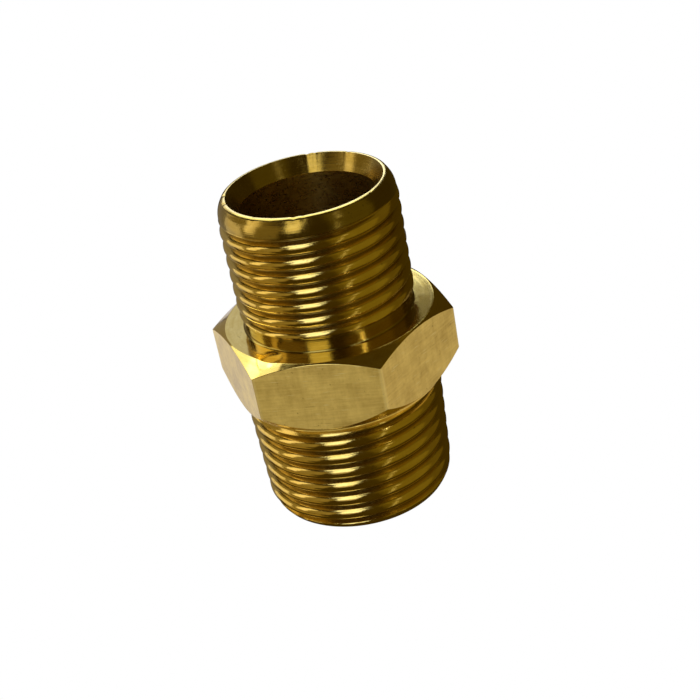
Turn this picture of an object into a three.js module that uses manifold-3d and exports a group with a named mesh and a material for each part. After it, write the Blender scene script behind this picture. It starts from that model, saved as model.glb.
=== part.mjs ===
// Brass hex nipple: a hexagon collar between two male pipe threads, with a bore right through.
// The upper end is a parallel thread with a coned nose; the lower end is a taper thread.
// Millimetres, +Z up. The origin is the centre of the lower end face, on the bore axis.
// The nipple is turned from one bar. Each named mesh is one machined zone of that bar, and
// neighbouring zones meet face to face on a plane across the axis.
import * as THREE from 'three';
import { mergeVertices } from 'three/addons/utils/BufferGeometryUtils.js';
import Module from 'manifold-3d';

const wasm = await Module();
wasm.setup();

// Overall levels along the axis
const TOP_Z = 40.3;            // rim of the coned nose
const NOSE_Z = 38.2;           // foot of the nose, where the parallel thread starts
const NECK_TOP_Z = 25.9;       // end of the parallel thread
const HEX_TOP_Z = 24.1;        // flat shoulder on top of the hexagon
const HEX_BOTTOM_Z = 14.9;     // flat shoulder under the hexagon
const TAIL_Z = 1.0;            // level where the taper thread starts

// Bore and the conical seat in the nose
const BORE_R = 8.0;
const SEAT_Z = 38.3;           // where the seat cone meets the bore
const RIM_IN_R = 9.08;         // inner edge of the narrow rim
const RIM_OUT_R = 9.28;        // outer edge of the narrow rim
const RIM_FOOT_R = 9.64;       // the rim's worn outer edge slopes down to here
const RIM_FOOT_Z = 40.04;
const TAIL_BORE_R = 8.4;       // bore edge broken at the lower end
const TAIL_BREAK = 0.4;

// Thread form, as shares of the pitch: broad rounded crests and narrow roots
const DEPTH_PER_PITCH = 0.46;
const SHOULDER_PER_PITCH = 0.30;         // where the crest's arc runs into the flank
const SHOULDER_DEPTH_PER_PITCH = 0.147;

// Parallel thread, upper end
const UPPER_R = 10.4775;
const UPPER_PITCH = 1.814;
const UPPER_CREST_Z = 37.0;   // height of one crest at azimuth -90 degrees
const LEAD_R = 10.3;           // radius where the nose chamfer rounds into the thread
const NOSE_MID_R = 10.03;      // the nose bulges a little between thread and rim
const NOSE_MID_Z = 39.25;

// Taper thread, lower end: 1 in 16 on the diameter
const LOWER_R = 12.0;          // crest radius at the hexagon's underside
const LOWER_PITCH = 2.03;
const LOWER_CREST_Z = 12.37;   // height of one crest at azimuth -90 degrees
const TAPER = 1 / 32;          // loss of radius per millimetre
const TAIL_R = 10.85;          // radius of the lower end face
const TAIL_MID_R = 11.35;      // the lead chamfer is rounded: it is steeper above this ring
const TAIL_MID_Z = 0.9;
const TAIL_LEAD_Z = 2.2;       // top of the rounded lead
const UNDERCUT_R = 11.2;       // narrow groove between thread and hexagon
const UNDERCUT_H = 0.45;

// Relief neck between the parallel thread and the hexagon
const NECK_R = 10.1;
const NECK_FOOT_R = 10.32;     // foot fillet on the shoulder
const NECK_FILLET = 0.22;

// Hexagon collar
const ACROSS_FLATS = 25.5;
const HEX_TURN = THREE.MathUtils.degToRad(-132.45);   // azimuth of one corner
const EDGE_TOP_Z = 22.75;      // the corner edges end here at the top chamfer
const EDGE_BOTTOM_Z = 17.45;   // and here at the lower chamfer
const TOP_FACE_R = 12.55;
const BOTTOM_FACE_R = 12.4;

// Mesh fineness
const SEGMENTS = 36;           // facets round the axis, and steps in one turn of a thread
const CLEAR = 0.4;             // how far a trimming outline stands off a thread's crests

// Turns a closed geometry into a solid for joining and cutting.
function solid(geometry) {
  const bare = geometry.clone();
  bare.deleteAttribute('normal');
  bare.deleteAttribute('uv');
  const merged = mergeVertices(bare, 1e-5);
  return new wasm.Manifold(new wasm.Mesh({
    numProp: 3,
    vertProperties: new Float32Array(merged.attributes.position.array),
    triVerts: new Uint32Array(merged.index.array),
  }));
}

// Turns a solid back into geometry.
function geometryOf(body) {
  const mesh = body.getMesh();
  const geometry = new THREE.BufferGeometry();
  geometry.setAttribute('position', new THREE.BufferAttribute(mesh.vertProperties, 3));
  geometry.setIndex(new THREE.BufferAttribute(mesh.triVerts, 1));
  geometry.computeVertexNormals();
  return geometry;
}

// A body of revolution about +Z from [radius, height] pairs that go up the outside and start
// and end on the axis.
function turned(profile) {
  const points = profile.map(([r, z]) => new THREE.Vector2(r, z));
  const geometry = new THREE.LatheGeometry(points, SEGMENTS);
  geometry.rotateX(Math.PI / 2);
  return solid(geometry);
}

// A rod with a right-hand thread as one closed body. crestRadius gives the crest's radius at a
// height, so the same code makes parallel and taper threads. Every row of points follows the
// helix: a quarter of them run along each edge of the thread's section. The rod's ends are
// ragged, so it is made overlong and trimmed afterwards.
function threadedRod({ pitch, crestZ, low, high, crestRadius }) {
  const shoulder = SHOULDER_PER_PITCH * pitch;
  const shoulderDepth = SHOULDER_DEPTH_PER_PITCH * pitch;
  const section = [
    [-pitch / 2, DEPTH_PER_PITCH * pitch],
    [-shoulder, shoulderDepth],
    [0, 0],
    [shoulder, shoulderDepth],
  ];
  const edges = section.length;
  const firstCrest = Math.floor((low - crestZ) / pitch) - 1;
  const lastCrest = Math.ceil((high - crestZ) / pitch) + 1;
  const rows = edges * (lastCrest - firstCrest + 1);
  const front = -Math.PI / 2;
  const positions = [];
  const indices = [];

  // The first step holds one pitch more than the others, where the last step joins it.
  const columnStart = [];
  for (let step = 0; step < SEGMENTS; step += 1) {
    columnStart.push(positions.length / 3);
    const turn = front + (2 * Math.PI * step) / SEGMENTS;
    const count = step === 0 ? rows + edges : rows;
    for (let row = 0; row < count; row += 1) {
      const [offset, sunk] = section[row % edges];
      const crest = firstCrest + Math.floor(row / edges) + step / SEGMENTS;
      const z = crestZ + pitch * crest + offset;
      const r = crestRadius(z) - sunk;
      positions.push(r * Math.cos(turn), r * Math.sin(turn), z);
    }
  }
  const point = (step, row) => (
    step === SEGMENTS ? columnStart[0] + row + edges : columnStart[step] + row
  );
  for (let step = 0; step < SEGMENTS; step += 1) {
    for (let row = 0; row < rows - 1; row += 1) {
      const a = point(step, row);
      const b = point(step + 1, row);
      const c = point(step + 1, row + 1);
      const d = point(step, row + 1);
      indices.push(a, b, c, a, c, d);
    }
  }

  // Each ragged end closes with a fan to a point on the axis.
  const closeEnd = (row, centreZ, facingUp) => {
    const centre = positions.length / 3;
    positions.push(0, 0, centreZ);
    const loop = [];
    for (let step = 0; step <= SEGMENTS; step += 1) loop.push(point(step, row));
    for (let k = edges - 1; k > 0; k -= 1) loop.push(point(0, row + k));
    loop.forEach((here, i) => {
      const next = loop[(i + 1) % loop.length];
      if (facingUp) indices.push(centre, here, next);
      else indices.push(centre, next, here);
    });
  };
  closeEnd(0, crestZ + pitch * (firstCrest - 1), false);
  closeEnd(rows - 1, crestZ + pitch * (lastCrest + 2), true);

  const geometry = new THREE.BufferGeometry();
  geometry.setAttribute('position', new THREE.Float32BufferAttribute(positions, 3));
  geometry.setIndex(indices);
  return solid(geometry);
}

// The through bore with the seat cone at the top and a broken edge at the bottom, overlong at
// both ends so that it cuts the end faces cleanly.
const OVER = 1;
const seatSlope = (RIM_IN_R - BORE_R) / (TOP_Z - SEAT_Z);
const bore = turned([
  [0, -OVER],
  [TAIL_BORE_R + OVER, -OVER],
  [BORE_R, TAIL_BREAK],
  [BORE_R, SEAT_Z],
  [RIM_IN_R + OVER * seatSlope, TOP_Z + OVER],
  [0, TOP_Z + OVER],
]);

// A flat disc used to take out the zone between two levels.
function between(low, high) {
  const radius = 40;
  return turned([[0, low], [radius, low], [radius, high], [0, high]]);
}

// Coned nose: a plain turned lead in front of the thread.
const noseBody = turned([
  [0, NOSE_Z],
  [LEAD_R, NOSE_Z],
  [NOSE_MID_R, NOSE_MID_Z],
  [RIM_FOOT_R, RIM_FOOT_Z],
  [RIM_OUT_R, TOP_Z],
  [0, TOP_Z],
]);

// Parallel thread, trimmed to a cone where it runs down to the neck.
const parallelRod = threadedRod({
  pitch: UPPER_PITCH,
  crestZ: UPPER_CREST_Z,
  low: NECK_TOP_Z,
  high: NOSE_Z,
  crestRadius: () => UPPER_R,
});
const parallelOutline = turned([
  [0, NECK_TOP_Z],
  [NECK_R, NECK_TOP_Z],
  [UPPER_R + CLEAR, NECK_TOP_Z + UPPER_R + CLEAR - NECK_R],
  [UPPER_R + CLEAR, NOSE_Z - CLEAR],
  [LEAD_R, NOSE_Z],
  [0, NOSE_Z],
]);

// Taper thread, trimmed to the undercut above it and the lead chamfer below it.
const taperRadius = (z) => LOWER_R - TAPER * (HEX_BOTTOM_Z - z);
const taperRod = threadedRod({
  pitch: LOWER_PITCH,
  crestZ: LOWER_CREST_Z,
  low: 0,
  high: HEX_BOTTOM_Z,
  crestRadius: taperRadius,
});
const taperOutline = turned([
  [0, 0],
  [TAIL_R, 0],
  [TAIL_MID_R, TAIL_MID_Z],
  [taperRadius(TAIL_LEAD_Z) + CLEAR, TAIL_LEAD_Z],
  [LOWER_R + CLEAR, HEX_BOTTOM_Z - 3 * UNDERCUT_H],
  [UNDERCUT_R, HEX_BOTTOM_Z - UNDERCUT_H],
  [UNDERCUT_R, HEX_BOTTOM_Z],
  [0, HEX_BOTTOM_Z],
]);
const lowerEnd = taperRod.intersect(taperOutline).subtract(bore);

// Relief neck with a rounded foot on the shoulder.
function reliefNeck() {
  const profile = [[0, HEX_TOP_Z]];
  const arcSteps = 4;
  for (let i = 0; i <= arcSteps; i += 1) {
    const angle = (i / arcSteps) * (Math.PI / 2);
    profile.push([
      NECK_FOOT_R - (NECK_FOOT_R - NECK_R) * Math.sin(angle),
      HEX_TOP_Z + NECK_FILLET * (1 - Math.cos(angle)),
    ]);
  }
  profile.push([NECK_R, NECK_TOP_Z], [0, NECK_TOP_Z]);
  return turned(profile).subtract(bore);
}

// Hexagon collar: a six-sided bar with both ends turned to a cone.
function hexCollar() {
  const cornerR = ACROSS_FLATS / Math.sqrt(3);
  const outline = new THREE.Shape();
  for (let corner = 0; corner < 6; corner += 1) {
    const angle = HEX_TURN + (corner * Math.PI) / 3;
    const x = cornerR * Math.cos(angle);
    const y = cornerR * Math.sin(angle);
    if (corner === 0) outline.moveTo(x, y);
    else outline.lineTo(x, y);
  }
  outline.closePath();
  const bar = new THREE.ExtrudeGeometry(outline, {
    depth: HEX_TOP_Z - HEX_BOTTOM_Z,
    bevelEnabled: false,
  });
  bar.translate(0, 0, HEX_BOTTOM_Z);
  // The cones run on past the corners at the slope that ends each corner edge.
  const past = 2;
  const topSlope = (HEX_TOP_Z - EDGE_TOP_Z) / (cornerR - TOP_FACE_R);
  const bottomSlope = (EDGE_BOTTOM_Z - HEX_BOTTOM_Z) / (cornerR - BOTTOM_FACE_R);
  const cones = turned([
    [0, HEX_BOTTOM_Z],
    [BOTTOM_FACE_R, HEX_BOTTOM_Z],
    [cornerR + past, EDGE_BOTTOM_Z + past * bottomSlope],
    [cornerR + past, EDGE_TOP_Z - past * topSlope],
    [TOP_FACE_R, HEX_TOP_Z],
    [0, HEX_TOP_Z],
  ]);
  return solid(bar).intersect(cones).subtract(bore);
}

const turnedBrass = { color: 0xb08a2e, roughness: 0.22, metalness: 1 };
const drawnBrass = { color: 0xb59a58, roughness: 0.42, metalness: 1 };

const nipple = new THREE.Group();

// Adds one named zone with a material of its own.
function addZone(name, body, finish) {
  const mesh = new THREE.Mesh(geometryOf(body), new THREE.MeshStandardMaterial(finish));
  mesh.name = name;
  nipple.add(mesh);
}

addZone('coned_nose', noseBody.subtract(bore), turnedBrass);
addZone('parallel_thread', parallelRod.intersect(parallelOutline).subtract(bore), turnedBrass);
addZone('relief_neck', reliefNeck(), turnedBrass);
addZone('hex_collar', hexCollar(), drawnBrass);
addZone('taper_thread', lowerEnd.intersect(between(TAIL_Z, HEX_BOTTOM_Z + OVER)), turnedBrass);
addZone('tail_end', lowerEnd.intersect(between(-OVER, TAIL_Z)), turnedBrass);

export default nipple;
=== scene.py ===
"""Looks of a brass hex nipple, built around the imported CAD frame.

Every zone of the nipple gets a fine mesh of its own, worked out from the thread form and the
levels of the CAD nodes. The finishes are variants of two: brass turned on the lathe, and brass
of the drawn hexagon bar. Lengths are in metres, angles in radians unless a name says degrees.
"""
import math

import bmesh
import bpy
import numpy as np
from mathutils import Matrix, Vector


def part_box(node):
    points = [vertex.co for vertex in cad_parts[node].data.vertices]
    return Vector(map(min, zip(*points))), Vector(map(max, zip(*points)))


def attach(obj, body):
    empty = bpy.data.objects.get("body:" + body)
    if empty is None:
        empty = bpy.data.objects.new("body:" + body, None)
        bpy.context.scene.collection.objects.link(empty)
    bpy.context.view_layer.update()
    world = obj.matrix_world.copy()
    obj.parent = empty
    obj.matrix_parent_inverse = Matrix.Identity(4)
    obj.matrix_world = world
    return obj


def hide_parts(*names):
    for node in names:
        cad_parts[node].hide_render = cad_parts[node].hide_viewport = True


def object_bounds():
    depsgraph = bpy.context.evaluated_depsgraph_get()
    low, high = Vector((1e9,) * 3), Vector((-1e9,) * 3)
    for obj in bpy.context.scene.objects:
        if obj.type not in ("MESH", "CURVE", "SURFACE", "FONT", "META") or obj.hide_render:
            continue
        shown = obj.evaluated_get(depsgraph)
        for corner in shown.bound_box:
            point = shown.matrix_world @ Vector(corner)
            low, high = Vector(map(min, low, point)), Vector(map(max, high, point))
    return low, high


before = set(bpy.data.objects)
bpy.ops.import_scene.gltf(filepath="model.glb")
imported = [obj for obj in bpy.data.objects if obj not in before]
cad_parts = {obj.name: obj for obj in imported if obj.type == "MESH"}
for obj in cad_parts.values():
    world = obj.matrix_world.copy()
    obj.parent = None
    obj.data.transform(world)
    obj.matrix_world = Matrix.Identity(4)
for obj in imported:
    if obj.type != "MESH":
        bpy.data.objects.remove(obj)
cad_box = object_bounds()

MM = 0.001

# ---------------------------------------------------------------- levels, from the frame
TOP_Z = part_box("coned_nose")[1].z
NOSE_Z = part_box("coned_nose")[0].z
NECK_TOP_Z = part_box("relief_neck")[1].z
HEX_TOP_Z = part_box("hex_collar")[1].z
HEX_BOTTOM_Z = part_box("hex_collar")[0].z
TAIL_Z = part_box("tail_end")[1].z
FLOOR_Z = cad_box[0].z

# ---------------------------------------------------------------- sizes
# They are those of the CAD for all that it shows; the small knocks are only here. FRONT is the
# azimuth of the side that faces the camera.
FRONT = -math.pi / 2
BORE_R = 8.0 * MM

# Nose: cone seat, rim with a worn outer edge, and the taper that leads into the thread
SEAT_Z = TOP_Z - 2.0 * MM
SEAT_FOOT_ROUND = 0.05 * MM
RIM_IN_R = 9.08 * MM
RIM_IN_ROUND = 0.03 * MM
RIM_OUT_R = 9.45 * MM
RIM_ROUND = 0.6 * MM
RIM_DROP = 0.26 * MM
RIM_SLOPE = 0.75
LEAD_R = 10.3 * MM
LEAD_H = 0.9 * MM
NOSE_BULGE = 0.22 * MM

# Small knocks in the rim: azimuth and half width in degrees, depth in millimetres
NICKS = ((-101, 1.5, 0.07), (-94, 1.2, 0.04), (-131, 1.5, 0.04), (-171, 2.0, 0.06),
         (174, 1.5, 0.09), (84, 1.8, 0.12), (78, 1.2, 0.07), (52, 1.4, 0.07), (-41, 1.3, 0.04))
# They fade in from the first distance below the top of the outer side to the second above it
NICK_FADE = (0.4 * MM, 0.2 * MM)

# Threads: half the thread angle, the rounding of crests and roots in pitches, and the rounding
# of the crease between a thread and the turned outline
FLANK = math.radians(27.5)
CREST_ROUND = 0.38
ROOT_ROUND = 0.05
CREASE = 0.03 * MM

# Upper thread: the crest level is the one at the front; the groove fades in over part of a turn
UPPER_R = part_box("parallel_thread")[1].x
UPPER_PITCH = 1.814 * MM
UPPER_CREST_Z = 37.00 * MM
LEAD_IN_TURNS = 0.3
RUN_OUT_H = 1.1 * MM

# Lower thread: its radius at the collar, and the radius lost for each unit down the axis
LOWER_R = 12.0 * MM
LOWER_PITCH = 2.03 * MM
LOWER_CREST_Z = 12.37 * MM
TAPER = 1 / 32

# The outline clears the crests until it leads into the undercut beneath the collar
UNDERCUT_R = 11.2 * MM
UNDERCUT_H = 0.45 * MM
UNDERCUT_LEAD = 1.2 * MM
CLEAR_OF_CREST = 0.3 * MM

# Tail: its outline as height and radius in millimetres, and the chamfer of the bore
TAIL_OUTLINE = ((0, 10.85), (0.4, 11.1), (0.9, 11.35), (1.5, 11.56), (2.2, 11.9))
TAIL_BREAK = 0.4 * MM

NECK_R = 10.1 * MM
NECK_FOOT_R = 10.32 * MM
NECK_FILLET = 0.22 * MM
# The step up to the thread starts this far below the neck's top and ends this far above it
NECK_STEP = (0.05 * MM, 0.22 * MM)

# Collar: the hexagon, its turned ends and, in millimetres, the rounding of the corners of its
# section from the bore's top to the bore's foot
APOTHEM = 25.5 / 2 * MM
SIXTH = math.pi / 3
HEX_TURN = math.radians(-132.45)
CORNER_ROUND = 0.22 * MM
EDGE_TOP_Z = 22.75 * MM
EDGE_BOTTOM_Z = 17.45 * MM
TOP_FACE_R = 12.55 * MM
BOTTOM_FACE_R = 12.4 * MM
BOTTOM_LAND = 0.18 * MM
COLLAR_ROUNDING = (0, 0.06, 0.07, 0.07, 0.05, 0.05, 0)

# One old knock on the collar's top
BRUISE_TURN = math.radians(-129)
BRUISE_AT = 11.8 * MM
BRUISE_R = 1.30 * MM
BRUISE_DEPTH = 0.19 * MM
BRUISE_CLEAR_OF_NECK = 0.1 * MM
BRUISE_BELOW_EDGE = 0.3 * MM

# ---------------------------------------------------------------- mesh detail
COLUMNS = 240
MERGE = 1e-7
SHARP = math.radians(38)
CREST_ROWS = 16
FLANK_ROWS = 3
ROOT_ROWS = 5
NOSE_OUTLINE_POINTS = 13
NOSE_ROWS = 46
ARC_STEPS = 5
RIM_STEPS = 12
SEAT_FOOT_STEPS = 4
RIM_GAP = 0.02 * MM
FILLET_ROWS = 12
NECK_ROWS = 16
TAIL_ROWS = 22
COLLAR_TOP_ROWS = 16
FLAT_COLUMNS = 16

# Columns beside a corner of the hexagon and the first of those across a flat, as angles from
# the corner; rows beside a rounded edge of the collar, as a share of the face that they lie on
NEAR_CORNER = (0, 0.0022, 0.0045, 0.0065, 0.0085, 0.011, 0.02)
FLAT_START = 0.04
EDGE_GAP = 0.04

# How a face is told to belong to the bore, the seat, the rim or a flat
BORE_SLACK = 0.02 * MM
SEAT_SLACK = 0.03 * MM
RIM_BAND = 0.035 * MM
UPRIGHT = 0.2
FLAT_MARGIN = 0.2 * MM

# ---------------------------------------------------------------- thread form


def thread_depth(u, pitch):
    """Depth below the crest of a 55 degree thread with broad worn crests and narrow roots,
    u along the axis from a crest."""
    crest_r, root_r = CREST_ROUND * pitch, ROOT_ROUND * pitch
    reach, root_reach = crest_r * math.cos(FLANK), root_r * math.cos(FLANK)
    sink = 1 - math.sin(FLANK)
    flank_drop = (pitch / 2 - reach - root_reach) / math.tan(FLANK)
    full = (crest_r + root_r) * sink + flank_drop
    u = np.abs((u + pitch / 2) % pitch - pitch / 2)
    v = pitch / 2 - u
    crest = crest_r - np.sqrt(np.maximum(crest_r**2 - u**2, 0))
    root = full - root_r + np.sqrt(np.maximum(root_r**2 - v**2, 0))
    flank = crest_r * sink + (u - reach) / math.tan(FLANK)
    return np.where(u < reach, crest, np.where(v < root_reach, root, flank))


def thread_rows(pitch):
    """Heights of the mesh rows within one pitch, close together where the form is rounded."""
    reach, root_reach = CREST_ROUND * math.cos(FLANK), ROOT_ROUND * math.cos(FLANK)
    crest = np.linspace(-reach, reach, CREST_ROWS + 1)[:-1]
    falling = np.linspace(reach, 0.5 - root_reach, FLANK_ROWS + 1)[:-1]
    root = np.linspace(0.5 - root_reach, 0.5 + root_reach, ROOT_ROWS + 1)[:-1]
    rising = np.linspace(0.5 + root_reach, 1 - reach, FLANK_ROWS + 1)[:-1]
    return np.concatenate([crest, falling, root, rising]) * pitch


def smooth_step(low, high, x):
    """0 below low and 1 above high, with a smooth rise between them."""
    t = np.clip((x - low) / (high - low), 0, 1)
    return t * t * (3 - 2 * t)


def soft_min(a, b):
    """The smaller of a and b, with the crease between them rounded over about CREASE."""
    h = np.clip(0.5 + 0.5 * (b - a) / CREASE, 0, 1)
    return b + (a - b) * h - CREASE * h * (1 - h)


def upper_outline(z):
    """Radius of the turned outline of the upper end: foot fillet, neck, step, nose."""
    heights = [NECK_TOP_Z - NECK_STEP[0], NECK_TOP_Z + NECK_STEP[1], NOSE_Z - LEAD_H]
    radii = [NECK_R, UPPER_R, UPPER_R]
    for share in np.linspace(0, 1, NOSE_OUTLINE_POINTS):
        heights.append(NOSE_Z + share * (TOP_Z - NOSE_Z))
        bulge = NOSE_BULGE * math.sin(math.pi * share)
        radii.append(LEAD_R + share * (RIM_OUT_R - LEAD_R) + bulge)
    above = np.interp(z, heights, radii)
    foot = np.clip(1 - (z - HEX_TOP_Z) / NECK_FILLET, 0, 1)
    rounded = NECK_R + (NECK_FOOT_R - NECK_R) * (1 - np.sqrt(1 - foot**2))
    return np.where(z < HEX_TOP_Z + NECK_FILLET, rounded, above)


def upper_radius(turn, z):
    """Radius of the upper end at an azimuth and height. The thread's groove fades in at the
    nose and runs out before the neck."""
    around = (turn - FRONT) / (2 * math.pi)
    count = (z - UPPER_CREST_Z) / UPPER_PITCH - around
    progress = np.floor(count) + around
    groove_z = UPPER_CREST_Z + (progress + 0.5) * UPPER_PITCH
    run_out = smooth_step(NECK_TOP_Z, NECK_TOP_Z + RUN_OUT_H, groove_z)
    cut = (1 - smooth_step(0.0, LEAD_IN_TURNS, progress)) * run_out
    depth = thread_depth(count * UPPER_PITCH, UPPER_PITCH) * cut
    return soft_min(UPPER_R - depth, upper_outline(z))


def lower_outline(z):
    """Radius of the turned outline of the lower end: rounded lead chamfer, taper, undercut."""
    heights = [height * MM for height, radius in TAIL_OUTLINE]
    radii = [radius * MM for height, radius in TAIL_OUTLINE]
    undercut_z = HEX_BOTTOM_Z - UNDERCUT_H
    heights += [undercut_z - UNDERCUT_LEAD, undercut_z, HEX_BOTTOM_Z]
    radii += [LOWER_R + CLEAR_OF_CREST, UNDERCUT_R, UNDERCUT_R]
    return np.interp(z, heights, radii)


def lower_radius(turn, z):
    """Radius of the lower end at an azimuth and height: a taper thread inside its outline."""
    around = (turn - FRONT) / (2 * math.pi)
    count = (z - LOWER_CREST_Z) / LOWER_PITCH - around
    crest = LOWER_R - TAPER * (HEX_BOTTOM_Z - z)
    depth = thread_depth(count * LOWER_PITCH, LOWER_PITCH)
    return soft_min(crest - depth, lower_outline(z))


# ---------------------------------------------------------------- mesh building


def in_bore(face):
    """Whether a face lies on the wall of the bore."""
    return face.calc_center_median().xy.length < BORE_R + BORE_SLACK


def finish_mesh(name, points, faces, materials, choose=in_bore):
    """Makes an object of a closed mesh: doubles merged, faces out, smooth except at creases."""
    mesh = bpy.data.meshes.new(name)
    mesh.from_pydata(points.tolist(), [], faces)
    for material in materials:
        mesh.materials.append(material)
    bm = bmesh.new()
    bm.from_mesh(mesh)
    bmesh.ops.remove_doubles(bm, verts=bm.verts, dist=MERGE)
    bmesh.ops.recalc_face_normals(bm, faces=bm.faces)
    for edge in bm.edges:
        edge.smooth = len(edge.link_faces) == 2 and edge.calc_face_angle(0) < SHARP
    for face in bm.faces:
        face.smooth = True
        face.material_index = int(choose(face))
    bm.to_mesh(mesh)
    bm.free()
    piece = bpy.data.objects.new(name, mesh)
    bpy.context.scene.collection.objects.link(piece)
    return piece


def grid_faces(columns, rows, shift=0, outer_rows=0):
    """Quads of a tube whose section closes on itself. Where the last column meets the first,
    rows of the outer surface step up by shift, so that they can follow a helix."""
    faces = []
    for column in range(columns):
        wraps = column == columns - 1
        base, ahead = column * rows, 0 if wraps else (column + 1) * rows
        for row in range(rows):
            after = (row + 1) % rows
            near, far = row, after
            if wraps and shift:
                near = min(row + shift, outer_rows - 1) if row < outer_rows else row
                far = min(after + shift, outer_rows - 1) if after < outer_rows else after
                if after == 0:
                    far = 0
            faces.append((base + row, ahead + near, ahead + far, base + after))
    return faces


def to_points(turns, radius, height):
    """Cylinder coordinates to points, one row of the result for each mesh vertex."""
    turns = np.broadcast_to(turns[:, None], radius.shape)
    stack = [radius * np.cos(turns), radius * np.sin(turns), height]
    return np.stack(stack, axis=-1).reshape(-1, 3)


def threaded_piece(name, material, radius_at, pitch, crest_z, low, high):
    """A length of thread between two levels, with the bore through it. Its rows follow the
    helix and are squeezed flat where they pass the two end levels."""
    rows_in_pitch = thread_rows(pitch)
    shift = len(rows_in_pitch)
    # The rows climb a pitch in a turn, so they start lower and go on until they pass both ends
    first = math.floor((low - crest_z) / pitch) - 2
    last = math.ceil((high - crest_z) / pitch) + 1
    starts = [crest_z + k * pitch + rows_in_pitch for k in range(first, last + 1)]
    level = np.concatenate(starts)
    turns = FRONT + 2 * math.pi * np.arange(COLUMNS) / COLUMNS
    climb = pitch * np.arange(COLUMNS) / COLUMNS
    height = np.clip(level[None, :] + climb[:, None], low, high)
    radius = radius_at(turns[:, None], height)
    outer_rows = len(level)
    bore = np.tile([high, low], (COLUMNS, 1))
    height = np.concatenate([height, bore], axis=1)
    radius = np.concatenate([radius, np.full_like(bore, BORE_R)], axis=1)
    faces = grid_faces(COLUMNS, outer_rows + 2, shift, outer_rows)
    return finish_mesh(name, to_points(turns, radius, height), faces, (material, BORED))


def nose_finish(face):
    """Number of the finish of a face of the nose: 0 outside, 1 bore, 2 seat, 3 rim."""
    middle = face.calc_center_median()
    if in_bore(face):
        return 1
    if middle.z > TOP_Z - RIM_BAND:
        return 3
    return 2 if middle.xy.length < RIM_IN_R - SEAT_SLACK and middle.z > SEAT_Z else 0


def nick_depth(turn, nicks):
    """How far small knocks have pressed an edge down, at an azimuth."""
    depth = np.zeros_like(turn)
    for degrees, wide, deep in nicks:
        off = (turn - math.radians(degrees) + math.pi) % (2 * math.pi) - math.pi
        depth += deep * MM * np.exp(-(off / math.radians(wide)) ** 2)
    return depth


def turned_piece(name, materials, radius_at, heights, inner, choose=in_bore, nicks=()):
    """A turned zone: the outer surface at the given heights, then the inner (r, z) points, with
    any nicks pressed into its upper edge."""
    turns = FRONT + 2 * math.pi * np.arange(COLUMNS) / COLUMNS
    height = np.tile(heights, (COLUMNS, 1))
    radius = radius_at(turns[:, None], height)
    inner = np.array(inner)
    height = np.concatenate([height, np.tile(inner[:, 1], (COLUMNS, 1))], axis=1)
    radius = np.concatenate([radius, np.tile(inner[:, 0], (COLUMNS, 1))], axis=1)
    near_top = smooth_step(heights[-1] - NICK_FADE[0], heights[-1] + NICK_FADE[1], height)
    height = height - near_top * nick_depth(turns, nicks)[:, None]
    faces = grid_faces(COLUMNS, height.shape[1])
    return finish_mesh(name, to_points(turns, radius, height), faces, materials, choose)


def rounded(corner, before, after, radius, steps=ARC_STEPS):
    """Points of an arc that rounds the corner of a polyline in the (r, z) plane."""
    corner, before, after = (np.array(p, float) for p in (corner, before, after))
    back = (before - corner) / np.linalg.norm(before - corner)
    ahead = (after - corner) / np.linalg.norm(after - corner)
    half = math.acos(np.clip(back @ ahead, -1, 1)) / 2
    reach = radius / math.tan(half)
    start, end = corner + back * reach, corner + ahead * reach
    middle = corner + (back + ahead) / np.linalg.norm(back + ahead) * radius / math.sin(half)
    points = []
    for share in np.linspace(0, 1, steps):
        chord = start + (end - start) * share - middle
        points.append(middle + chord / np.linalg.norm(chord) * radius)
    return points


def hex_radius(turn):
    """Distance from the axis to the six-sided outline, its corners slightly rounded."""
    beta = (turn - HEX_TURN + SIXTH / 2) % SIXTH - SIXTH / 2
    flat = APOTHEM / math.cos(SIXTH / 2 - abs(beta))
    centre = (APOTHEM - CORNER_ROUND) / math.cos(SIXTH / 2)
    touch = SIXTH / 2 - math.atan((APOTHEM - CORNER_ROUND) * math.tan(SIXTH / 2) / APOTHEM)
    if abs(beta) > touch:
        return flat
    return centre * math.cos(beta) + math.sqrt(CORNER_ROUND**2 - (centre * math.sin(beta)) ** 2)


def hex_turns():
    """Azimuths of the collar's columns, crowded at the six corners."""
    half = np.concatenate([NEAR_CORNER, np.linspace(FLAT_START, SIXTH / 2, FLAT_COLUMNS)])
    one = np.concatenate([half, SIXTH - half[1:-1][::-1]])
    return np.concatenate([HEX_TURN + k * SIXTH + one for k in range(6)])


def bruise_depth(turn, radius, height):
    """Depth of the old knock on the collar's top at a point given by azimuth, radius, height."""
    x = radius * np.cos(turn) - BRUISE_AT * math.cos(BRUISE_TURN)
    y = radius * np.sin(turn) - BRUISE_AT * math.sin(BRUISE_TURN)
    away = np.sqrt(x * x + y * y) / BRUISE_R
    beside_neck = radius > NECK_FOOT_R + BRUISE_CLEAR_OF_NECK
    on_top = (height > EDGE_TOP_Z - BRUISE_BELOW_EDGE) & beside_neck
    return np.where(on_top, BRUISE_DEPTH * np.exp(-(away**4)), 0)


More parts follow.
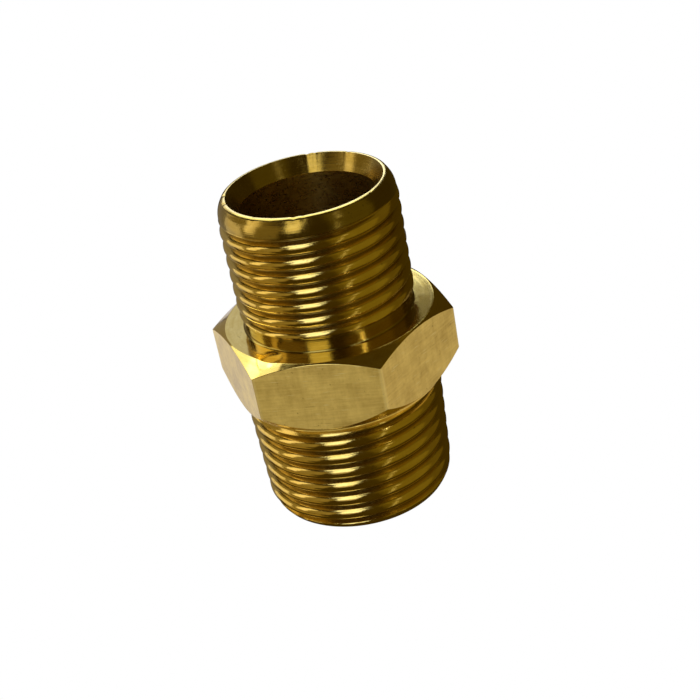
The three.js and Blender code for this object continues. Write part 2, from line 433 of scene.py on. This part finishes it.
def hex_piece(name, materials):
    """The hexagon collar: a drawn six-sided bar with both ends turned to a cone."""
    corner_r = APOTHEM / math.cos(SIXTH / 2)
    top_slope = (HEX_TOP_Z - EDGE_TOP_Z) / (corner_r - TOP_FACE_R)
    bottom_slope = (EDGE_BOTTOM_Z - HEX_BOTTOM_Z - BOTTOM_LAND) / (corner_r - BOTTOM_FACE_R)
    turns = hex_turns()
    columns = []
    for turn in turns:
        side = hex_radius(turn)
        line = [
            (BORE_R, HEX_TOP_Z),
            (TOP_FACE_R, HEX_TOP_Z),
            (side, HEX_TOP_Z - top_slope * (side - TOP_FACE_R)),
            (side, HEX_BOTTOM_Z + BOTTOM_LAND + bottom_slope * (side - BOTTOM_FACE_R)),
            (BOTTOM_FACE_R, HEX_BOTTOM_Z + BOTTOM_LAND),
            (BOTTOM_FACE_R, HEX_BOTTOM_Z),
            (BORE_R, HEX_BOTTOM_Z),
        ]
        points = [np.array(line[0])]
        for k in range(1, len(line) - 1):
            arc = rounded(line[k], line[k - 1], line[k + 1], COLLAR_ROUNDING[k] * MM)
            reach_in = arc[0] + (points[-1] - arc[0]) * EDGE_GAP
            reach_out = arc[-1] + (np.array(line[k + 1]) - arc[-1]) * EDGE_GAP
            if k <= 2:
                points += list(np.linspace(points[-1], reach_in, COLLAR_TOP_ROWS)[1:-1])
            points += [reach_in, *arc, reach_out]
        points.append(np.array(line[-1]))
        columns.append(points)
    section = np.array(columns)
    section[:, :, 1] -= bruise_depth(turns[:, None], section[:, :, 0], section[:, :, 1])
    rows = section.shape[1]
    flat_top = HEX_TOP_Z - top_slope * (APOTHEM - TOP_FACE_R)

    def choose(face):
        """0 for the turned ends, 1 for the six flats, 2 for the bore."""
        if in_bore(face):
            return 2
        middle = face.calc_center_median()
        upright = abs(face.normal.z) < UPRIGHT and middle.xy.length > BOTTOM_FACE_R
        return upright and middle.z < flat_top + FLAT_MARGIN

    points = to_points(turns, section[:, :, 0], section[:, :, 1])
    return finish_mesh(name, points, grid_faces(len(turns), rows), materials, choose)


# ---------------------------------------------------------------- materials
# Colours of the metal, of what lies on it, and of painted shade
BRASS_BRIGHT = (0.92, 0.73, 0.27, 1)
BRASS_DEEP = (0.80, 0.60, 0.17, 1)
# Grime for the dark specks, and the colour of the painted shade in thread roots and on darker
# zones
GRIME_AND_SHADE = (0.20, 0.14, 0.02, 1)
# Painted shade inside the bore, with some oxide
BORE_SHADE = (0.26, 0.12, 0.0, 1)
WORN_PALE = (0.42, 0.36, 0.22, 1)
DRAWN_DARK = (0.62, 0.47, 0.15, 1)
DRAWN_LIGHT = (1.0, 0.82, 0.32, 1)
SCRATCH_LIGHT = (1.0, 0.90, 0.50, 1)
PIT_DARK = (0.30, 0.20, 0.05, 1)
CORNER_LIGHT = (1.0, 0.88, 0.45, 1)

# Noise in the finishes: scale in cells for each metre, detail and roughness
RINGS = (9000, 3, 0.6)
COARSE_RINGS = (2600, 2, 0.5)
STAINS = (420, 5, 0.7)
SPECKLE = (2600, 3, 0.6)
ALONG_BAR = (1500, 3, 0.6)
ACROSS_BAR = (3600, 3, 0.6)
SCRATCHES = (5200, 1, 0.4)
BLOTCHES = (300, 5, 0.65)
PITS = (2400, 2, 0.5)

# Factors on the coordinate along a mark, which draw the noise out into lines. Rings lie round
# the axis (metres for each radian); scratches slope a little and cut another slice of the noise.
RING_STRETCH, ALONG_STRETCH, ACROSS_STRETCH, SCRATCH_STRETCH = 0.0004, 0.06, 0.05, 0.10
SCRATCH_SLOPE = 0.04
SCRATCH_SLICE = 0.3

# Weights of the noises that are added up, in the order of the names
STAIN_AND_COARSE_TONE = (0.6, 0.4)
SPECKLE_AND_RING_WEAR = (0.5, 0.5)
RING_COARSE_AND_SPECKLE_HEIGHT = (0.35, 1, 0.25)
ALONG_ACROSS_AND_BLOTCH_TONE = (0.17, 0.23, 0.6)
LINE_AND_DOT_HEIGHT = (0.5, 0.5)
DEPTH_AND_STAIN_ROOT_SHADE = (1, 0.5)

# Levels between which a change comes in, from none to full: of the noise, or of the radius for
# the worn corners of the hexagon
TONE_LEVELS = (0.38, 0.62)
SPECK_LEVELS = (0.36, 0.44)
POLISH_LEVELS = (0.3, 0.7)
ROOT_SHADE_LEVELS = (0.65, 1.15)
LIGHT_SCRATCH_LEVELS = (0.66, 0.74)
DARK_SCRATCH_LEVELS = (0.30, 0.22)
PIT_LEVELS = (0.30, 0.22)
CORNER_LEVELS = (14.52 * MM, 14.66 * MM)

# How far each change goes where it is full
ROOT_SHADE_SHARE = 0.62
ROOT_SHADE_ROUGHENS = 0.3
LIGHT_SCRATCH_SHARE = 0.5
DARK_SCRATCH_SHARE = 0.45
PIT_SHARE = 0.8
CORNER_SHARE = 0.5

# Roughness of the least and the most worn places: as factors on that of a turned finish, and
# as it is on the bar
TURNED_POLISH = (0.6, 1.5)
BAR_ROUGHNESS = (0.34, 0.5)

# Depths of the marks
LATHE_MARKS = 0.022 * MM
FINE_MARKS = 0.004 * MM
BORE_MARKS = 0.001 * MM
BAR_MARKS = 0.035 * MM

# Turn of the stretched highlights against the tangent, as a share of a full turn
GROOVE_TURN = 0.25

# Depth below the crest that counts as the root, where the painted shade is darkest, in pitches
ROOT_SHADE_DEPTH = 0.46


class Nodes:
    """Short helpers for building one node tree."""

    def __init__(self, material):
        material.use_nodes = True
        self.tree = material.node_tree
        self.tree.nodes.clear()

    def add(self, kind, **values):
        """A new shader node of a kind, with its settings."""
        node = self.tree.nodes.new("ShaderNode" + kind)
        for key, value in values.items():
            setattr(node, key, value)
        return node

    def link(self, source, target):
        self.tree.links.new(source, target)

    def feed(self, socket, value):
        """Gives a socket its value: another node's output, or a constant."""
        if isinstance(value, bpy.types.NodeSocket):
            self.link(value, socket)
        else:
            socket.default_value = value

    def math(self, operation, a, b=0.0, clamp=False):
        node = self.add("Math", operation=operation, use_clamp=clamp)
        self.feed(node.inputs[0], a)
        self.feed(node.inputs[1], b)
        return node.outputs[0]

    def total(self, values, weights):
        """Sum of values, each times its weight."""
        parts = [self.math("MULTIPLY", value, weight) for value, weight in zip(values, weights)]
        result = parts[0]
        for part in parts[1:]:
            result = self.math("ADD", result, part)
        return result

    def noise(self, vector, scale, detail, roughness):
        node = self.add("TexNoise")
        self.feed(node.inputs["Vector"], vector)
        node.inputs["Scale"].default_value = scale
        node.inputs["Detail"].default_value = detail
        node.inputs["Roughness"].default_value = roughness
        return node.outputs["Fac"]

    def span(self, value, low, high, to_low, to_high):
        """Maps the range from low to high onto another range, and holds its ends beyond it."""
        node = self.add("MapRange")
        self.feed(node.inputs["Value"], value)
        for name, number in (("From Min", low), ("From Max", high),
                             ("To Min", to_low), ("To Max", to_high)):
            node.inputs[name].default_value = number
        return node.outputs["Result"]

    def mix(self, factor, a, b):
        node = self.add("Mix", data_type="RGBA")
        self.feed(node.inputs["Factor"], factor)
        self.feed(node.inputs["A"], a)
        self.feed(node.inputs["B"], b)
        return node.outputs["Result"]

    def vector(self, x, y, z):
        node = self.add("CombineXYZ")
        for socket, value in zip(node.inputs, (x, y, z)):
            self.feed(socket, value)
        return node.outputs[0]

    def surface(self, shader):
        """Makes a shader the surface of the material."""
        self.link(shader.outputs[0], self.add("OutputMaterial").inputs["Surface"])

    def cylinder(self):
        """Radius, azimuth and height of the shaded point about the bore axis."""
        place = self.add("SeparateXYZ")
        self.link(self.add("TexCoord").outputs["Object"], place.inputs[0])
        x, y, z = place.outputs
        radius = self.math("SQRT", self.math("ADD", self.math("MULTIPLY", x, x),
                                             self.math("MULTIPLY", y, y)))
        return radius, self.math("ARCTAN2", y, x), z


def metal(nodes, colour, roughness, height, lift, anisotropic):
    """A polished metal shader whose grooves run round the axis."""
    shader = nodes.add("BsdfPrincipled")
    shader.inputs["Metallic"].default_value = 1.0
    shader.inputs["Anisotropic"].default_value = anisotropic
    shader.inputs["Anisotropic Rotation"].default_value = GROOVE_TURN
    nodes.feed(shader.inputs["Base Color"], colour)
    nodes.feed(shader.inputs["Roughness"], roughness)
    tangent = nodes.add("Tangent", direction_type="RADIAL", axis="Z")
    nodes.link(tangent.outputs[0], shader.inputs["Tangent"])
    bump = nodes.add("Bump")
    bump.inputs["Distance"].default_value = lift
    nodes.link(height, bump.inputs["Height"])
    nodes.link(bump.outputs[0], shader.inputs["Normal"])
    nodes.surface(shader)


def groove_share(nodes, radius, z, crest_r, taper, depth):
    """0 on the crest of a thread and 1 at its root."""
    crest = nodes.math("ADD", nodes.math("MULTIPLY", z, taper), crest_r - taper * HEX_BOTTOM_Z)
    return nodes.math("DIVIDE", nodes.math("SUBTRACT", crest, radius), depth, clamp=True)


def turned_brass(name, rough=0.12, anisotropic=0.5, thread=None, film_and_shade_share=0.0, specked=0.55,
                 marks=LATHE_MARKS, film_and_shade=GRIME_AND_SHADE):
    """Brass from the lathe: tool marks round the axis, stains, dark specks and small bruises.
    Where thread gives crest radius, taper and depth, the roots are darkened towards the grime
    colour as painted shade, patchy with the stains. film_and_shade_share mixes the colour
    towards
    film_and_shade: painted shade on the darker zones, and a pale worn film on the rim."""
    material = bpy.data.materials.new(name)
    nodes = Nodes(material)
    radius, azimuth, z = nodes.cylinder()
    ring_place = nodes.vector(radius, nodes.math("MULTIPLY", azimuth, RING_STRETCH), z)
    rings = nodes.noise(ring_place, *RINGS)
    coarse = nodes.noise(ring_place, *COARSE_RINGS)
    body_place = nodes.add("TexCoord").outputs["Object"]
    stain = nodes.noise(body_place, *STAINS)
    speckle = nodes.noise(body_place, *SPECKLE)
    tone = nodes.total((stain, coarse), STAIN_AND_COARSE_TONE)
    colour = nodes.mix(nodes.span(tone, *TONE_LEVELS, 0, 1), BRASS_DEEP, BRASS_BRIGHT)
    specks = nodes.span(nodes.math("MULTIPLY", speckle, stain), *SPECK_LEVELS, 0, specked)
    colour = nodes.mix(specks, colour, GRIME_AND_SHADE)
    wear = nodes.total((speckle, rings), SPECKLE_AND_RING_WEAR)
    smoothest, roughest = (rough * factor for factor in TURNED_POLISH)
    roughness = nodes.span(wear, *POLISH_LEVELS, smoothest, roughest)
    # Painted shade: a thread's roots are darkened towards the grime colour, fully at the root
    # and patchy with the stains; the same mask also roughens them.
    if thread:
        share = groove_share(nodes, radius, z, *thread)
        root_shade_amount = nodes.total((share, stain), DEPTH_AND_STAIN_ROOT_SHADE)
        root_shade = nodes.span(root_shade_amount, *ROOT_SHADE_LEVELS, 0, ROOT_SHADE_SHARE)
        colour = nodes.mix(root_shade, colour, GRIME_AND_SHADE)
        roughness = nodes.total((roughness, root_shade), (1, ROOT_SHADE_ROUGHENS))
    # Painted shade: the colour of a darker zone is mixed towards a darker film colour; on the
    # rim the film is pale wear instead.
    if film_and_shade_share:
        colour = nodes.mix(film_and_shade_share, colour, film_and_shade)
    height = nodes.total((rings, coarse, speckle), RING_COARSE_AND_SPECKLE_HEIGHT)
    metal(nodes, colour, roughness, height, marks, anisotropic)
    return material


def drawn_brass(name):
    """Satin brass of the drawn bar: light and dark scratches, bands along the bar, small pits,
    worn blotches, and corners rubbed bright."""
    material = bpy.data.materials.new(name)
    nodes = Nodes(material)
    radius, azimuth, z = nodes.cylinder()
    turned = nodes.math("MULTIPLY", azimuth, APOTHEM)
    along_place = nodes.vector(turned, 0.0, nodes.math("MULTIPLY", z, ALONG_STRETCH))
    along = nodes.noise(along_place, *ALONG_BAR)
    across_place = nodes.vector(nodes.math("MULTIPLY", turned, ACROSS_STRETCH), 0.0, z)
    across = nodes.noise(across_place, *ACROSS_BAR)
    sloped = nodes.math("ADD", z, nodes.math("MULTIPLY", turned, SCRATCH_SLOPE))
    scratch_place = nodes.vector(nodes.math("MULTIPLY", turned, SCRATCH_STRETCH),
                                 SCRATCH_SLICE, sloped)
    scratches = nodes.noise(scratch_place, *SCRATCHES)
    body_place = nodes.add("TexCoord").outputs["Object"]
    blotch = nodes.noise(body_place, *BLOTCHES)
    pits = nodes.noise(body_place, *PITS)
    tone = nodes.total((along, across, blotch), ALONG_ACROSS_AND_BLOTCH_TONE)
    colour = nodes.mix(nodes.span(tone, *TONE_LEVELS, 0, 1), DRAWN_DARK, DRAWN_LIGHT)
    bright = nodes.span(scratches, *LIGHT_SCRATCH_LEVELS, 0, LIGHT_SCRATCH_SHARE)
    colour = nodes.mix(bright, colour, SCRATCH_LIGHT)
    dark_scratches = nodes.span(scratches, *DARK_SCRATCH_LEVELS, 0, DARK_SCRATCH_SHARE)
    dark_pits = nodes.span(pits, *PIT_LEVELS, 0, PIT_SHARE)
    dark = nodes.math("ADD", dark_scratches, dark_pits, clamp=True)
    colour = nodes.mix(dark, colour, PIT_DARK)
    worn = nodes.span(radius, *CORNER_LEVELS, 0, CORNER_SHARE)
    colour = nodes.mix(worn, colour, CORNER_LIGHT)
    roughness = nodes.span(tone, *POLISH_LEVELS, *BAR_ROUGHNESS)
    lines = nodes.math("ADD", along, across)
    dots = nodes.math("ADD", pits, scratches)
    height = nodes.total((lines, dots), LINE_AND_DOT_HEIGHT)
    metal(nodes, colour, roughness, height, BAR_MARKS, 0.0)
    return material


def glow(name, colour, strength):
    """A plain emitting material for the stage."""
    material = bpy.data.materials.new(name)
    nodes = Nodes(material)
    emission = nodes.add("Emission")
    emission.inputs["Color"].default_value = (*colour, 1)
    emission.inputs["Strength"].default_value = strength
    nodes.surface(emission)
    return material


# ---------------------------------------------------------------- the nipple
TURNED = turned_brass("turned_brass")
UPPER = turned_brass("upper_thread_brass", thread=(UPPER_R, 0.0, ROOT_SHADE_DEPTH * UPPER_PITCH))
LOWER = turned_brass("lower_thread_brass", thread=(LOWER_R, TAPER, ROOT_SHADE_DEPTH * LOWER_PITCH))
# The nose, seat and neck are darker copies of the turned brass, with painted shade mixed into
# their colour; the rim's film is pale wear.
NOSE = turned_brass("nose_brass", rough=0.17, film_and_shade_share=0.54)
SEAT = turned_brass("seat_brass", rough=0.2, film_and_shade_share=0.62, specked=0.3)
RIM = turned_brass("rim_brass", rough=0.22, specked=0.2, film_and_shade_share=0.6, film_and_shade=WORN_PALE)
NECK = turned_brass("neck_brass", rough=0.12, film_and_shade_share=0.74)
SHOULDER = turned_brass("shoulder_brass", rough=0.10, marks=FINE_MARKS)
DRAWN = drawn_brass("drawn_brass")
# The bore is darkened towards a dark brown: painted shade inside it, with some oxide.
BORED = turned_brass("bored_brass", rough=0.3, anisotropic=0.6, film_and_shade_share=0.6, specked=0.0,
                     marks=BORE_MARKS, film_and_shade=BORE_SHADE)


def place(piece, node, slot):
    """Fixes a piece to the one body, in place of a CAD node. The slot is not used."""
    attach(piece, "root")
    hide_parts(node)


def nose_top():
    """Points over the rounded rim and down the seat cone."""
    rim_out, rim_in = (RIM_OUT_R, TOP_Z), (RIM_IN_R, TOP_Z)
    below = (RIM_OUT_R + RIM_SLOPE * RIM_DROP, TOP_Z - RIM_DROP)
    seat_foot = (BORE_R, SEAT_Z)
    over = rounded(rim_out, below, rim_in, RIM_ROUND, RIM_STEPS)
    over += rounded(rim_in, rim_out, seat_foot, RIM_IN_ROUND)
    over += rounded(seat_foot, rim_in, (BORE_R, NOSE_Z), SEAT_FOOT_ROUND, SEAT_FOOT_STEPS)
    return [tuple(point) for point in over] + [(BORE_R, NOSE_Z)]


nose_heights = np.linspace(NOSE_Z, TOP_Z - RIM_DROP - RIM_GAP, NOSE_ROWS)
place(turned_piece("nose", (NOSE, BORED, SEAT, RIM), upper_radius, nose_heights, nose_top(),
                   nose_finish, NICKS),
      "coned_nose", "turned_brass")
place(threaded_piece("upper_thread", UPPER, upper_radius, UPPER_PITCH, UPPER_CREST_Z,
                     NECK_TOP_Z, NOSE_Z),
      "parallel_thread", "turned_brass")
fillet_top = HEX_TOP_Z + NECK_FILLET
neck_heights = np.concatenate([np.linspace(HEX_TOP_Z, fillet_top, FILLET_ROWS),
                               np.linspace(fillet_top, NECK_TOP_Z, NECK_ROWS)[1:]])
place(turned_piece("neck", (NECK, BORED), upper_radius, neck_heights,
                   [(BORE_R, NECK_TOP_Z), (BORE_R, HEX_TOP_Z)]),
      "relief_neck", "turned_brass")
place(hex_piece("collar", (SHOULDER, DRAWN, BORED)), "hex_collar", "drawn_brass")
place(threaded_piece("lower_thread", LOWER, lower_radius, LOWER_PITCH, LOWER_CREST_Z,
                     TAIL_Z, HEX_BOTTOM_Z),
      "taper_thread", "turned_brass")
place(turned_piece("tail", (TURNED, BORED), lower_radius, np.linspace(0, TAIL_Z, TAIL_ROWS),
                   [(BORE_R, TAIL_Z), (BORE_R, TAIL_BREAK), (BORE_R + TAIL_BREAK, 0)]),
      "tail_end", "turned_brass")

# ---------------------------------------------------------------- stage and light
# Point of the nipple that the lamps and the camera are placed about
MIDDLE = Vector((0, 0, 20.0 * MM))
FLOOR_REACH = 3.0
DOME_R = FLOOR_REACH * 0.8
DOME_SUBDIVISIONS = 3
WHITE = (1, 1, 1)
ROOM_COLOUR = (1.0, 0.62, 0.03, 1)
ROOM_STRENGTH = 0.05
LAMP_DISTANCE = 0.6


def direction(azimuth, elevation):
    """Unit vector at an azimuth from +X towards +Y and an elevation, both in degrees."""
    a, e = math.radians(azimuth), math.radians(elevation)
    return Vector((math.cos(a) * math.cos(e), math.sin(a) * math.cos(e), math.sin(e)))


def scenery(name, mesh, material):
    """A stage object that only the camera sees, so that it throws no light on the nipple."""
    mesh.materials.append(material)
    piece = bpy.data.objects.new(name, mesh)
    bpy.context.scene.collection.objects.link(piece)
    piece.visible_glossy = False
    piece.visible_diffuse = False
    piece.visible_shadow = False


def softbox(name, azimuth, elevation, wide, tall, radiance):
    """An area light seen from the nipple at an azimuth and elevation, its width and height in
    degrees."""
    light = bpy.data.lights.new(name, "AREA")
    light.shape = "RECTANGLE"
    light.size = 2 * LAMP_DISTANCE * math.tan(math.radians(wide) / 2)
    light.size_y = 2 * LAMP_DISTANCE * math.tan(math.radians(tall) / 2)
    strongest = max(radiance)
    light.energy = strongest * math.pi * light.size * light.size_y
    light.color = [channel / strongest for channel in radiance]
    lamp = bpy.data.objects.new(name, light)
    towards = direction(azimuth, elevation)
    lamp.location = MIDDLE + towards * LAMP_DISTANCE
    lamp.rotation_euler = towards.to_track_quat("Z", "Y").to_matrix().to_euler()
    lamp.visible_camera = False
    bpy.context.scene.collection.objects.link(lamp)
    return lamp


def build_stage():
    """A plain white floor and dome, and the faint light of a warm dim room."""
    pale = glow("floor", WHITE, 1.0)
    far = FLOOR_REACH
    corners = [(-far, -far, FLOOR_Z), (far, -far, FLOOR_Z), (far, far, FLOOR_Z),
               (-far, far, FLOOR_Z)]
    floor = bpy.data.meshes.new("floor")
    floor.from_pydata(corners, [], [(0, 1, 2, 3)])
    scenery("floor", floor, pale)
    dome = bpy.data.meshes.new("backdrop")
    bm = bmesh.new()
    bmesh.ops.create_icosphere(bm, subdivisions=DOME_SUBDIVISIONS, radius=DOME_R)
    bm.to_mesh(dome)
    bm.free()
    scenery("backdrop", dome, pale)
    world = bpy.data.worlds.new("studio")
    bpy.context.scene.world = world
    world.use_nodes = True
    background = world.node_tree.nodes["Background"]
    background.inputs["Color"].default_value = ROOM_COLOUR
    background.inputs["Strength"].default_value = ROOM_STRENGTH


# Name, azimuth, elevation, width, height (degrees), radiance in red, green and blue
LIGHTS = [
    ("left_square", -172, 20, 15, 50, (0.85, 0.72, 0.50)),
    ("left", 158, -5, 32, 34, (0.62, 0.54, 0.42)),
    ("left_low", -175, -32, 50, 26, (0.26, 0.18, 0.05)),
    ("left_fill", -172, 12, 80, 56, (0.22, 0.165, 0.06)),
    ("left_back", 128, -5, 36, 60, (0.20, 0.18, 0.15)),
    ("back_high", 100, 57, 50, 42, (2.40, 2.50, 2.00)),
    ("back", 101, 28, 15, 16, (0.50, 0.52, 0.58)),
    ("back_right", 82, 20.0, 14, 13.2, (1.90, 2.00, 1.90)),
    ("right_fill", -36, 8, 60, 100, (0.068, 0.053, 0.006)),
    ("strip_low", -59, -14, 1.4, 64, (0.95, 0.85, 0.50)),
    ("strip_high", -52, 36, 3, 16, (0.70, 0.62, 0.40)),
]

# The key light, and how the worn nose and its seat show it
BODY_LIGHTS = [
    ("key_high", -129, 62, 22, 22, (1.40, 1.45, 1.40)),
    ("key", -113, 33, 24, 36, (1.40, 1.45, 1.40)),
    ("key_low", -112, 6, 20, 20, (0.45, 0.38, 0.25)),
    ("right_wide", -26, 8, 96, 116, (0.064, 0.046, 0.006)),
]
NOSE_LIGHTS = [
    ("nose_key", -114, 30, 17, 44, (1.50, 1.33, 0.84)),
    ("nose_window", -176, 24, 9, 44, (0.42, 0.36, 0.24)),
    ("rim_back", 104, 25, 36, 18, (1.40, 1.40, 1.30)),
]

# A pale wall that the neck and the shoulder mirror to each other
NECK_LIGHTS = [
    ("neck_left", 157, 29, 34, 22, (1.60, 1.45, 1.00)),
]

# A bright slit that the neck and the shoulder show as a thin line
WAIST_LIGHTS = [
    ("glint", -52, 30, 1.0, 80, (9.0, 9.6, 13.0)),
]

# The pale table and a high window as the collar sees them
COLLAR_LIGHTS = [
    ("table_right", 12, -30, 66, 50, (0.46, 0.40, 0.31)),
    ("table_corner", -56, -30, 50, 50, (0.40, 0.34, 0.22)),
    ("table_front", -118, -30, 62, 50, (0.44, 0.39, 0.27)),
    ("table_left", 125, -30, 55, 50, (0.56, 0.58, 0.78)),
    ("window_high", 146, 38, 28, 26, (1.30, 1.35, 1.10)),
    ("window_top", 158, 51, 15, 18, (1.25, 1.20, 0.95)),
]

# Name of a group, its lights and the pieces that they shine on
LIGHT_GROUPS = [
    ("body", BODY_LIGHTS, ("upper_thread", "neck", "collar", "lower_thread", "tail")),
    ("nose", NOSE_LIGHTS, ("nose",)),
    ("neck", NECK_LIGHTS, ("neck",)),
    ("waist", WAIST_LIGHTS, ("neck", "collar")),
    ("collar", COLLAR_LIGHTS, ("collar",)),
]


def build_lights():
    """The lights, some of which shine only on certain pieces."""
    for light in LIGHTS:
        softbox(*light)
    for group, lights, names in LIGHT_GROUPS:
        receivers = bpy.data.collections.new("lit_" + group)
        for name in names:
            receivers.objects.link(bpy.data.objects[name])
        for light in lights:
            softbox(*light).light_linking.receiver_collection = receivers


# ---------------------------------------------------------------- camera
CAMERA_ELEVATION = math.radians(29.07)
CAMERA_DISTANCE = 158.3 * MM
CAMERA_ROLL = math.radians(-11.05)
CAMERA_AIM = MIDDLE + Vector((1.53, 0, -1.95)) * MM
SENSOR_WIDTH_MM = 36
LENS_MM = 67.34
CLIP_START = 10 * MM
CLIP_END = 10


def build_camera():
    """The camera stands in front, looks down on the collar and is rolled to one side."""
    back = Vector((0, -math.cos(CAMERA_ELEVATION), math.sin(CAMERA_ELEVATION)))
    data = bpy.data.cameras.new("camera")
    data.sensor_width = SENSOR_WIDTH_MM
    data.lens = LENS_MM
    data.clip_start = CLIP_START
    data.clip_end = CLIP_END
    camera = bpy.data.objects.new("camera", data)
    look = (-back).to_track_quat("-Z", "Y").to_matrix().to_4x4()
    stand = Matrix.Translation(CAMERA_AIM + back * CAMERA_DISTANCE)
    camera.matrix_world = stand @ look @ Matrix.Rotation(CAMERA_ROLL, 4, "Z")
    bpy.context.scene.collection.objects.link(camera)
    bpy.context.scene.camera = camera


build_stage()
build_lights()
build_camera()
bpy.context.scene.view_settings.view_transform = "Standard"
